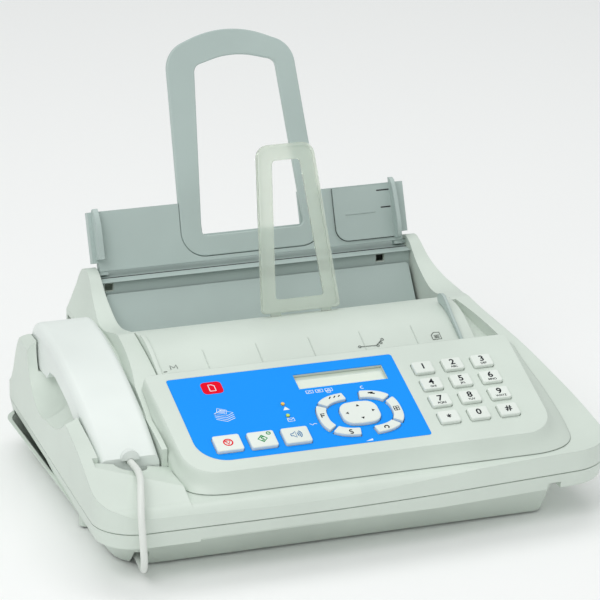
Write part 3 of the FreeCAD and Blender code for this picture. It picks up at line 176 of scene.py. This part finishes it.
CASING = moulded("casing_plastic", (0.665, 0.735, 0.67), 0.42)
HANDSET = moulded("handset_plastic", (0.80, 0.85, 0.82), 0.36, grain=0.03)
FLAP_GREY = moulded("flap_plastic", (0.47, 0.56, 0.535), 0.45)
KEY = moulded("key_plastic", (0.78, 0.83, 0.78), 0.38, grain=0.02, edge=0.0004)
OVERLAY = moulded("overlay_sheet", (0.002, 0.31, 1.0), 0.5, grain=0.01, variation=0.01, edge=0.0001,
                  shine=0.12)
BLACK = moulded("black_plastic", (0.03, 0.03, 0.034), 0.5)
RUBBER = moulded("rubber", (0.035, 0.035, 0.036), 0.8, grain=0.1)
BOARD = moulded("board_laminate", (0.03, 0.16, 0.07), 0.4)
STEEL = metal("plated_steel", (0.6, 0.6, 0.62), 0.3)
CORD = moulded("cord_sleeve", (0.78, 0.81, 0.77), 0.4, grain=0.02)
DISPLAY = moulded("display_glass", (0.70, 0.77, 0.66), 0.15, grain=0.0, variation=0.02, coat=0.4)
CLEAR = clear_plastic("clear_support", (0.90, 0.96, 0.87), 0.16, 0.66)
PLUG = clear_plastic("clear_plug", (0.9, 0.9, 0.88), 0.1, 0.8)
AMBER = lens("amber_lens", (0.95, 0.55, 0.04))
LIME = lens("lime_lens", (0.55, 0.75, 0.08))
WHITE_INK = matt_ink_and_shade("white_ink", (0.86, 0.93, 1.0), 0.1)
DARK_INK = matt_ink_and_shade("dark_ink", (0.012, 0.014, 0.02))
# Dark grey of the ramp's engraved signs: painted shade standing in for the shade in their grooves.
ENGRAVING_SHADE = matt_ink_and_shade("engraving_shade_grey", (0.10, 0.115, 0.105))
RED_INK = matt_ink_and_shade("red_ink", (0.86, 0.0, 0.02), 0.08)
GREEN_INK = matt_ink_and_shade("green_ink", (0.0, 0.30, 0.07))
BLUE_INK = matt_ink_and_shade("blue_ink", (0.0, 0.17, 0.42))

NODE_MATERIALS = {
    "casing": CASING, "dark_rubber": RUBBER, "steel": STEEL, "overlay_blue": OVERLAY,
    "display": DISPLAY, "lamp": AMBER, "board": BOARD, "key_grey": KEY, "guide_grey": FLAP_GREY,
    "clear": CLEAR, "black": BLACK, "handset_white": HANDSET, "plug_clear": PLUG, "cord_white": CORD,
}

for entry in frame["record"]["subparts"]:
    mesh = frame["nodes"][entry["node"]].data
    mesh.materials.clear()
    mesh.materials.append(NODE_MATERIALS[entry["material_slot"]])


# ---------------------------------------------------------------- drawing tools

PRINT_FLATNESS = 0.35
PRINT_HALF_THICKNESS = 0.06
LETTER_HALF_THICKNESS = 0.05


def finish_piece(obj, material, body):
    """Gives a piece its material and the body it moves with."""
    obj.data.materials.clear()
    obj.data.materials.append(material)
    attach(obj, body)
    return obj


def mesh_object(name, mesh):
    obj = bpy.data.objects.new(name, mesh)
    bpy.context.scene.collection.objects.link(obj)
    return obj


def curve_mesh(name, curve):
    """Turns a curve or text block into a mesh object."""
    temporary = bpy.data.objects.new(name + "_curve", curve)
    bpy.context.scene.collection.objects.link(temporary)
    bpy.context.view_layer.update()
    graph = bpy.context.evaluated_depsgraph_get()
    mesh = bpy.data.meshes.new_from_object(temporary.evaluated_get(graph))
    bpy.data.objects.remove(temporary)
    mesh.name = name
    return mesh_object(name, mesh)


def strokes(name, lines, width, material, body, matrix, lift):
    """Printed lines: flattened wires of the given width, sunk to their middle in the surface."""
    curve = bpy.data.curves.new(name, "CURVE")
    curve.dimensions = "3D"
    curve.bevel_depth = width / 2
    curve.bevel_resolution = 1
    curve.use_fill_caps = True
    for points in lines:
        spline = curve.splines.new("POLY")
        spline.points.add(len(points) - 1)
        for point, (a, b) in zip(spline.points, points):
            point.co = (a, b, 0, 1)
    obj = curve_mesh(name, curve)
    flatten = Matrix.Diagonal((1, 1, PRINT_FLATNESS, 1))
    obj.data.transform(matrix @ Matrix.Translation((0, 0, lift)) @ flatten)
    return finish_piece(obj, material, body)


def patches(name, outlines, material, body, matrix, lift, thick=PRINT_HALF_THICKNESS):
    """Printed areas: closed outlines, each a thin plate."""
    work = bmesh.new()
    for points in outlines:
        low = [work.verts.new((a, b, lift - thick)) for a, b in points]
        high = [work.verts.new((a, b, lift + thick)) for a, b in points]
        work.faces.new(list(reversed(low)))
        work.faces.new(high)
        for i in range(len(points)):
            j = (i + 1) % len(points)
            work.faces.new((low[i], low[j], high[j], high[i]))
    bmesh.ops.recalc_face_normals(work, faces=work.faces)
    mesh = bpy.data.meshes.new(name)
    work.to_mesh(mesh)
    work.free()
    mesh.transform(matrix)
    return finish_piece(mesh_object(name, mesh), material, body)


def legend(name, words, height, material, body, matrix, place_at, lift, bold=0.0):
    """Generic keypad lettering, lying on a surface."""
    text = bpy.data.curves.new(name, "FONT")
    text.body = words
    text.size = height
    text.align_x = "CENTER"
    text.align_y = "CENTER"
    text.extrude = LETTER_HALF_THICKNESS
    text.offset = bold
    obj = curve_mesh(name, text)
    obj.data.transform(matrix @ Matrix.Translation((place_at[0], place_at[1], lift)))
    return finish_piece(obj, material, body)


def arc_points(cu, cv, radius, first, last, steps=24):
    """Points of an arc about (cu, cv), its angles in degrees."""
    turn = [math.radians(first + (last - first) * i / steps) for i in range(steps + 1)]
    return [(cu + radius * math.cos(t), cv + radius * math.sin(t)) for t in turn]


def rounded_box(cu, cv, width, depth, radius):
    points = []
    for su, sv, first in ((1, 1, 0), (-1, 1, 90), (-1, -1, 180), (1, -1, 270)):
        u = cu + su * (width / 2 - radius)
        v = cv + sv * (depth / 2 - radius)
        points += arc_points(u, v, radius, first, first + 90, 5)
    return points


def closed(points):
    return points + points[:1]


def rectangle(left, front, right, rear):
    return [(left, front), (right, front), (right, rear), (left, rear)]


# ---------------------------------------------------------------- keypad and keys

KEY_TOP = 2.4
CURVED_KEY_TOP = 2.0
KEYPAD_CORNER = (60, 14.5)
KEYPAD_PITCH = (20.9, 16.5)
DIGITS = (
    ("key_1", "1", ""), ("key_2", "2", "ABC"), ("key_3", "3", "DEF"),
    ("key_4", "4", "GHI"), ("key_5", "5", "JKL"), ("key_6", "6", "MNO"),
    ("key_7", "7", "PQRS"), ("key_8", "8", "TUV"), ("key_9", "9", "WXYZ"),
    ("key_star", "*", ""), ("key_0", "0", ""), ("key_hash", "#", ""),
)


def key_mark(name, lines, width, material, key, top=KEY_TOP):
    """Line drawing printed on a key."""
    strokes(name, lines, width, material, key, PANEL, top)


def keypad_legends():
    """Digit and letters on each key of the keypad."""
    lift = KEY_TOP + 0.01
    for index, (node, digit, letters) in enumerate(DIGITS):
        u = KEYPAD_CORNER[0] + (index % 3) * KEYPAD_PITCH[0]
        v = KEYPAD_CORNER[1] - (index // 3) * KEYPAD_PITCH[1]
        raised = 1.0 if letters else 0.3
        if digit == "*":
            raised = -1.5
        legend(node + "_digit", digit, 7.2, DARK_INK, node, PANEL, (u, v + raised), lift, 0.16)
        if letters:
            legend(node + "_letters", letters, 2.5, DARK_INK, node, PANEL, (u, v - 3.4), lift,
                   0.05)


def function_icons():
    """Signs on the three square keys: stop, start and loudspeaker."""
    u, v = -91, -34
    ring = closed(arc_points(u, v, 2.9, 0, 360))
    wedge = closed([(u - 1.7, v + 1.4), (u + 1.7, v + 1.4), (u, v - 1.8)])
    key_mark("stop_mark", [ring, wedge], 0.95, RED_INK, "stop_key")
    u, v = -68, -34.5
    diamond = closed([(u, v + 3.1), (u + 3.1, v), (u, v - 3.1), (u - 3.1, v)])
    upper_bend = arc_points(u + 0.1, v + 0.8, 0.8, 30, 240, 10)
    lower_bend = arc_points(u - 0.1, v - 0.8, 0.8, 60, -150, 10)
    small = [closed(arc_points(u + 5.2, v + 4.4, 1.3, 0, 360)), [(u + 4.3, v + 4.4), (u + 6.1, v + 4.4)]]
    key_mark("start_mark", [diamond, upper_bend + lower_bend], 0.85, GREEN_INK, "start_key")
    key_mark("start_small_mark", small, 0.6, GREEN_INK, "start_key")
    u, v = -45, -34.5
    horn = closed([(u - 3.8, v - 1.0), (u - 3.8, v + 1.0), (u - 2.4, v + 1.0), (u - 0.4, v + 2.7),
                   (u - 0.4, v - 2.7), (u - 2.4, v - 1.0)])
    waves = [arc_points(u - 0.6, v, radius, -48, 48, 10) for radius in (1.7, 2.9, 4.1)]
    key_mark("speaker_mark", [horn] + waves, 0.7, BLUE_INK, "speaker_key")


NAV = (3.3, -20.8)


def pad_marks():
    """Arrow heads on the navigation pad and small signs on the curved keys round it."""
    u, v = NAV
    heads = []
    for angle, reach in ((0, 8.8), (90, 5.9), (180, 8.8), (270, 5.9)):
        cu = u + reach * math.cos(math.radians(angle))
        cv = v + reach * math.sin(math.radians(angle))
        heads.append(arc_points(cu, cv, 1.35, angle, angle + 360, 3)[:3])
    patches("pad_arrows", heads, DARK_INK, "nav_pad", PANEL, KEY_TOP)
    bars = [[(u - 16 + i * 3.3, v + 15.8 + i * 0.5), (u - 14.6 + i * 3.3, v + 17.6 + i * 0.3)]
            for i in range(3)]
    flag = [[(u + 11.2, v + 17.0), (u + 14.6, v + 17.2)], [(u + 12.6, v + 16.6), (u + 15.6, v + 15.7)]]
    cu, cv = u + 25.0, v - 0.5
    book = [closed(rectangle(cu - 1.7, cv - 1.9, cu + 1.7, cv + 1.9)),
            [(cu, cv - 1.9), (cu, cv + 1.9)], [(cu - 1.7, cv), (cu + 1.7, cv)]]
    turn = [arc_points(u + 12.5, v - 16.8, 1.4, -60, 210, 12)]
    upper_bend = arc_points(u - 12, v - 16.2, 0.9, 20, 270, 10)
    lower_bend = arc_points(u - 12, v - 18.0, 0.9, 90, -160, 10)
    bend = [upper_bend + lower_bend]
    cu, cv = u - 25.2, v + 0.8
    steps = [[(cu - 1.2, cv - 1.7), (cu - 1.2, cv + 1.7), (cu + 1.3, cv + 1.7)],
             [(cu - 1.2, cv), (cu + 0.9, cv)]]
    for name, lines, width in (("index", bars, 0.8), ("clear", flag, 1.1), ("book", book, 0.65),
                               ("redial", turn, 0.9), ("setup", bend, 0.9), ("function", steps, 0.9)):
        key_mark(name + "_mark", lines, width, DARK_INK, name + "_key", CURVED_KEY_TOP)


OVERLAY_TOP = 0.05


def overlay_lines(name, lines, width, lift=OVERLAY_TOP):
    strokes(name, lines, width, WHITE_INK, "console", PANEL, lift)


def paper_stack(cu, cv):
    """Line drawing of a stack of sheets with a printed page on top."""
    stack = []
    for i in range(4):
        level = cv + i * 1.7
        stack.append([(cu - 6.3, level + 1.4), (cu + 0.2 + 0.3 * i, level - 1.8), (cu + 6.3, level + 0.6)])
    low, high = cv + 5.1, cv + 6.5
    stack.append(closed([(cu - 6.3, high), (cu + 1.1, low - 1.8), (cu + 6.3, low + 0.8),
                         (cu - 0.8, high + 2.9)]))
    stack.append(closed([(cu - 4.2, high + 1.2), (cu + 1.6, high - 1.4), (cu + 2.8, high + 2.2),
                         (cu - 2.8, high + 5.0)]))
    for k in range(3):
        stack.append([(cu - 2.6 + 0.3 * k, high + 1.6 + k), (cu + 1.2 + 0.3 * k, high - 0.2 + k)])
    return stack


def overlay_prints():
    """White line drawings and the red badge printed on the blue sheet."""
    lines = [closed(rectangle(left, 4.6, left + 4.8, 7.2)) for left in (-24.6, -18.0, -11.4)]
    lines += [[(-23.6, 5.2), (-22.2, 6.6), (-21.0, 5.2)], [(-16.8, 5.5), (-14.6, 5.5)],
              [(-16.8, 6.3), (-14.6, 6.3)], [(-10.2, 5.3), (-9.0, 6.6), (-7.8, 5.3)]]
    u, v = -42.9, -17.9
    lines.append(closed(rectangle(u - 2.2, v - 1.5, u + 2.2, v + 1.5)))
    lines.append([(u - 2.2, v + 1.5), (u, v - 0.3), (u + 2.2, v + 1.5)])
    u, v = NAV
    lines.append(closed(rectangle(u - 14.2, v + 24, u - 11.6, v + 26)))
    lines.append(arc_points(u + 10.4, v + 25.1, 1.2, 60, 300, 10))
    lines.append([(u - 35.5, v - 3), (u - 34, v - 4.6), (u - 32.4, v - 3.4), (u - 30.8, v - 3.8)])
    overlay_lines("overlay_small_lines", lines, 0.55)
    wedge = [(u - 4.5, v - 25.6), (u + 0.4, v - 25.6), (u + 0.4, v - 23.8)]
    mark = [(-45.0, -8.4), (-40.6, -8.4), (-42.9, -5.2)]
    patches("overlay_wedges", [wedge, mark], WHITE_INK, "console", PANEL, OVERLAY_TOP)
    overlay_lines("overlay_paper_stack", paper_stack(-84.5, -10.5), 0.5)
    badge = rounded_box(-84.4, 20.8, 14.0, 11.4, 3.0)
    patches("overlay_badge", [badge], RED_INK, "console", PANEL, OVERLAY_TOP)
    page = closed([(-86.4, 17.8), (-82.4, 17.8), (-82.4, 22.4), (-84.0, 23.8), (-86.4, 23.8)])
    overlay_lines("overlay_badge_page", [page], 0.7, OVERLAY_TOP + 0.07)


# ---------------------------------------------------------------- ramp, slot and paper guide

def ramp_engraving_shade():
    """Thin engraved signs on the document ramp, drawn as dark grey lines of painted shade in their
    grooves: an edge mark, the paper path and a page.
    """
    lines = [
        [(-107, -1.2), (-104.6, -1.2)],
        [(-101.5, 0.2), (-101.5, 3.6), (-99.2, 1.4), (-97.2, 3.8), (-96.9, 0.4)],
        [(31.5, 0.6), (42.2, 0.2), (46.8, 4.4)],
    ]
    for u, v in ((30.4, 0.7), (43.2, 0.0), (47.8, 5.0), (46.0, 2.2)):
        lines.append(closed(arc_points(u, v, 0.9, 0, 360, 10)))
    u, v = 86.0, 1.0
    lines.append(closed([(u - 3.4, v - 1.6), (u + 2.8, v - 1.6), (u + 2.8, v + 4.6), (u - 1.2, v + 4.8),
                         (u - 3.4, v + 2.6)]))
    lines += [[(u - 1.8, v - 0.2 + k), (u + 1.8, v - 0.1 + k)] for k in (0, 1.1, 2.2)]
    # Painted shade: dark grey lines standing in for the shade in the engraved grooves.
    strokes("ramp_sign_shade", lines, 0.45, ENGRAVING_SHADE, "document_cover", RAMP, 0.1)


def lamp_caps():
    """Coloured lenses of the two status lights."""
    for name, u, v, material in (("upper_lamp", -43.7, -2.8, AMBER), ("lower_lamp", -43.9, -14.1, LIME)):
        disc = arc_points(u, v, 1.25, 0, 330, 11)
        patches(name + "_lens", [disc], material, "console", PANEL, 0.7, 0.25)


def slot_wall():
    """Blue-grey strips on the paper slot's rear wall and shelf, left open at the square holes, and two
    black lines of painted shade: one along the top of the wall below the gap under the flap, one on the
    shelf beneath the flap's lower front edge.
    """
    low, hole_low, hole_high, high = 100, 108.2, 113.8, 115.1
    strips = [rectangle(left, low, right, high)
              for left, right in ((-112.8, -110.2), (-103.8, 87.5), (93.9, 112.8))]
    for left, right in ((-110.2, -103.8), (87.5, 93.9)):
        strips += [rectangle(left, low, right, hole_low), rectangle(left, hole_high, right, high)]
    patches("slot_wall_strip", strips, FLAP_GREY, "housing", SLOT_WALL, 0.08)
    # Painted shade: a black line at the top of the rear wall, under the shelf, standing in for the shade
    # of the gap beneath the flap.
    wall_shade_line = [(-112.6, 114.7), (112.6, 114.7)]
    strokes("slot_wall_painted_shade", [wall_shade_line], 1.0, BLACK, "housing", SLOT_WALL, 0.1)
    shelf = rectangle(-112.7, 96.2, 112.7, 123.5)
    patches("slot_shelf_strip", [shelf], FLAP_GREY, "housing", SHELF, 0.08)
    # Painted shade: a black line on the shelf, standing in for the shade beneath the flap's lower front
    # edge.
    shelf_shade_line = [(-112.6, 105.5), (112.6, 105.5)]
    strokes("slot_shelf_painted_shade", [shelf_shade_line], 1.6, BLACK, "housing", SHELF, 0.1)


def paper_guide_shade():
    """Painted shade on the sliding paper guide: two short black patches for the shade inside its slots and
    a black line for the shade round its base.
    """
    # Painted shade: black patches standing in for the dark insides of the two slots.
    slots = [rectangle(94.5, 36.6, 103.8, 37.5), rectangle(96.5, 24.6, 103.8, 25.5)]
    patches("paper_guide_slot_shade", slots, BLACK, "paper_guide", FLAP, 4.82)
    # Painted shade: a black line at the guide's base, standing in for the shade where it meets the flap.
    outline = [(62.1, 41)] + arc_points(71.1, 13.1, 9.2, 180, 270, 8) + [(104, 3.9)]
    strokes("paper_guide_base_shade", [outline], 0.7, BLACK, "paper_guide", FLAP, 3.4)


keypad_legends()
function_icons()
lamp_caps()
slot_wall()
paper_guide_shade()
pad_marks()
overlay_prints()
ramp_engraving_shade()


# ---------------------------------------------------------------- handset cord

CORD_ROUTE = (
    (-152, -88.4, 64.4), (-152, -97, 64.4), (-152.6, -110, 66.0), (-155.4, -126, 66.6),
    (-160.6, -142, 63.0), (-163.6, -152.6, 51), (-163.4, -155.4, 37), (-161.2, -151, 22),
    (-157.6, -139, 9.5), (-154.0, -124, 5.4), (-152.2, -109, 5.2), (-152, -95, 6.4), (-152, -80, 7.2),
    (-152, -64.9, 7.2),
)
CORD_DIAMETER = 0.0046


def route_curve(bevel):
    """The cord's line: a smooth spline that has the route's points as its control points."""
    curve = bpy.data.curves.new("cord_line", "CURVE")
    curve.dimensions = "3D"
    curve.resolution_u = 12
    curve.bevel_depth = bevel
    curve.bevel_resolution = 6
    curve.use_fill_caps = True
    spline = curve.splines.new("NURBS")
    spline.points.add(len(CORD_ROUTE) - 1)
    for point, (x, y, z) in zip(spline.points, CORD_ROUTE):
        point.co = (*place(x, y, z), 1)
    spline.order_u = 3
    spline.use_endpoint_u = True
    return curve


def handset_cord():
    """Sleeve of the cord from the handset's plug to its jack under the front left corner."""
    line = curve_mesh("cord_line_mesh", route_curve(0))
    bpy.data.objects.remove(line)
    tube = curve_mesh("handset_cord_sleeve", route_curve(CORD_DIAMETER / 2))
    tube.data.materials.clear()
    tube.data.materials.append(CORD)
    for face in tube.data.polygons:
        face.use_smooth = True
    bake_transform(tube)
    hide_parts("handset_cord")


handset_cord()


# ---------------------------------------------------------------- floor, light and camera

FLOOR_HALF = 6
FOCAL_RATIO = 3528 / 600
CAMERA_PLACE = (-765.11, -2065.23, 925.74)
CAMERA_TURN = (20.21, 20.0, 0.76)


def floor():
    """Plain pale sheet under the machine."""
    work = bmesh.new()
    bmesh.ops.create_grid(work, x_segments=1, y_segments=1, size=FLOOR_HALF)
    mesh = bpy.data.meshes.new("floor")
    work.to_mesh(mesh)
    work.free()
    obj = mesh_object("floor", mesh)
    material, tree, shader = new_material("floor_paper")
    shader.inputs["Base Color"].default_value = (0.97, 0.97, 0.97, 1)
    shader.inputs["Roughness"].default_value = 0.9
    obj.data.materials.append(material)


def softbox(name, at, towards, width, height, power):
    """Rectangular soft light, turned towards a point."""
    light = bpy.data.lights.new(name, "AREA")
    light.shape = "RECTANGLE"
    light.size, light.size_y = width, height
    light.energy = power
    obj = bpy.data.objects.new(name, light)
    bpy.context.scene.collection.objects.link(obj)
    obj.location = at
    obj.rotation_euler = (Vector(towards) - Vector(at)).to_track_quat("-Z", "Y").to_euler()


def studio():
    """Even surroundings, a main light from the front left, a weak fill and a light from above."""
    world = bpy.data.worlds.new("studio")
    bpy.context.scene.world = world
    world.use_nodes = True
    background = world.node_tree.nodes["Background"]
    background.inputs["Color"].default_value = (0.97, 1.0, 0.99, 1)
    background.inputs["Strength"].default_value = 0.56
    softbox("key_light", (-1.3, -1.2, 1.9), (0, 0, 0.08), 1.4, 1.4, 21)
    softbox("fill_light", (1.9, -0.9, 1.0), (0, 0, 0.08), 1.2, 1.2, 2)
    softbox("top_light", (0.2, 0.6, 2.2), (0, 0, 0.1), 1.6, 1.2, 12)


def camera():
    """Camera in front on the left, looking down at the machine."""
    azimuth, elevation, roll = [math.radians(angle) for angle in CAMERA_TURN]
    forward = Vector((math.sin(azimuth) * math.cos(elevation), math.cos(azimuth) * math.cos(elevation),
                      -math.sin(elevation)))
    level = Vector((math.cos(azimuth), -math.sin(azimuth), 0))
    above = level.cross(forward)
    right = level * math.cos(roll) + above * math.sin(roll)
    up = above * math.cos(roll) - level * math.sin(roll)
    data = bpy.data.cameras.new("camera")
    data.sensor_width = FULL_FRAME
    data.lens = FOCAL_RATIO * FULL_FRAME
    data.clip_end = 20
    obj = bpy.data.objects.new("camera", data)
    bpy.context.scene.collection.objects.link(obj)
    turn = Matrix((right, up, -forward)).transposed().to_4x4()
    obj.matrix_world = Matrix.Translation(place(*CAMERA_PLACE)) @ turn
    bpy.context.scene.camera = obj


floor()
studio()
camera()
bpy.context.scene.view_settings.view_transform = "Standard"
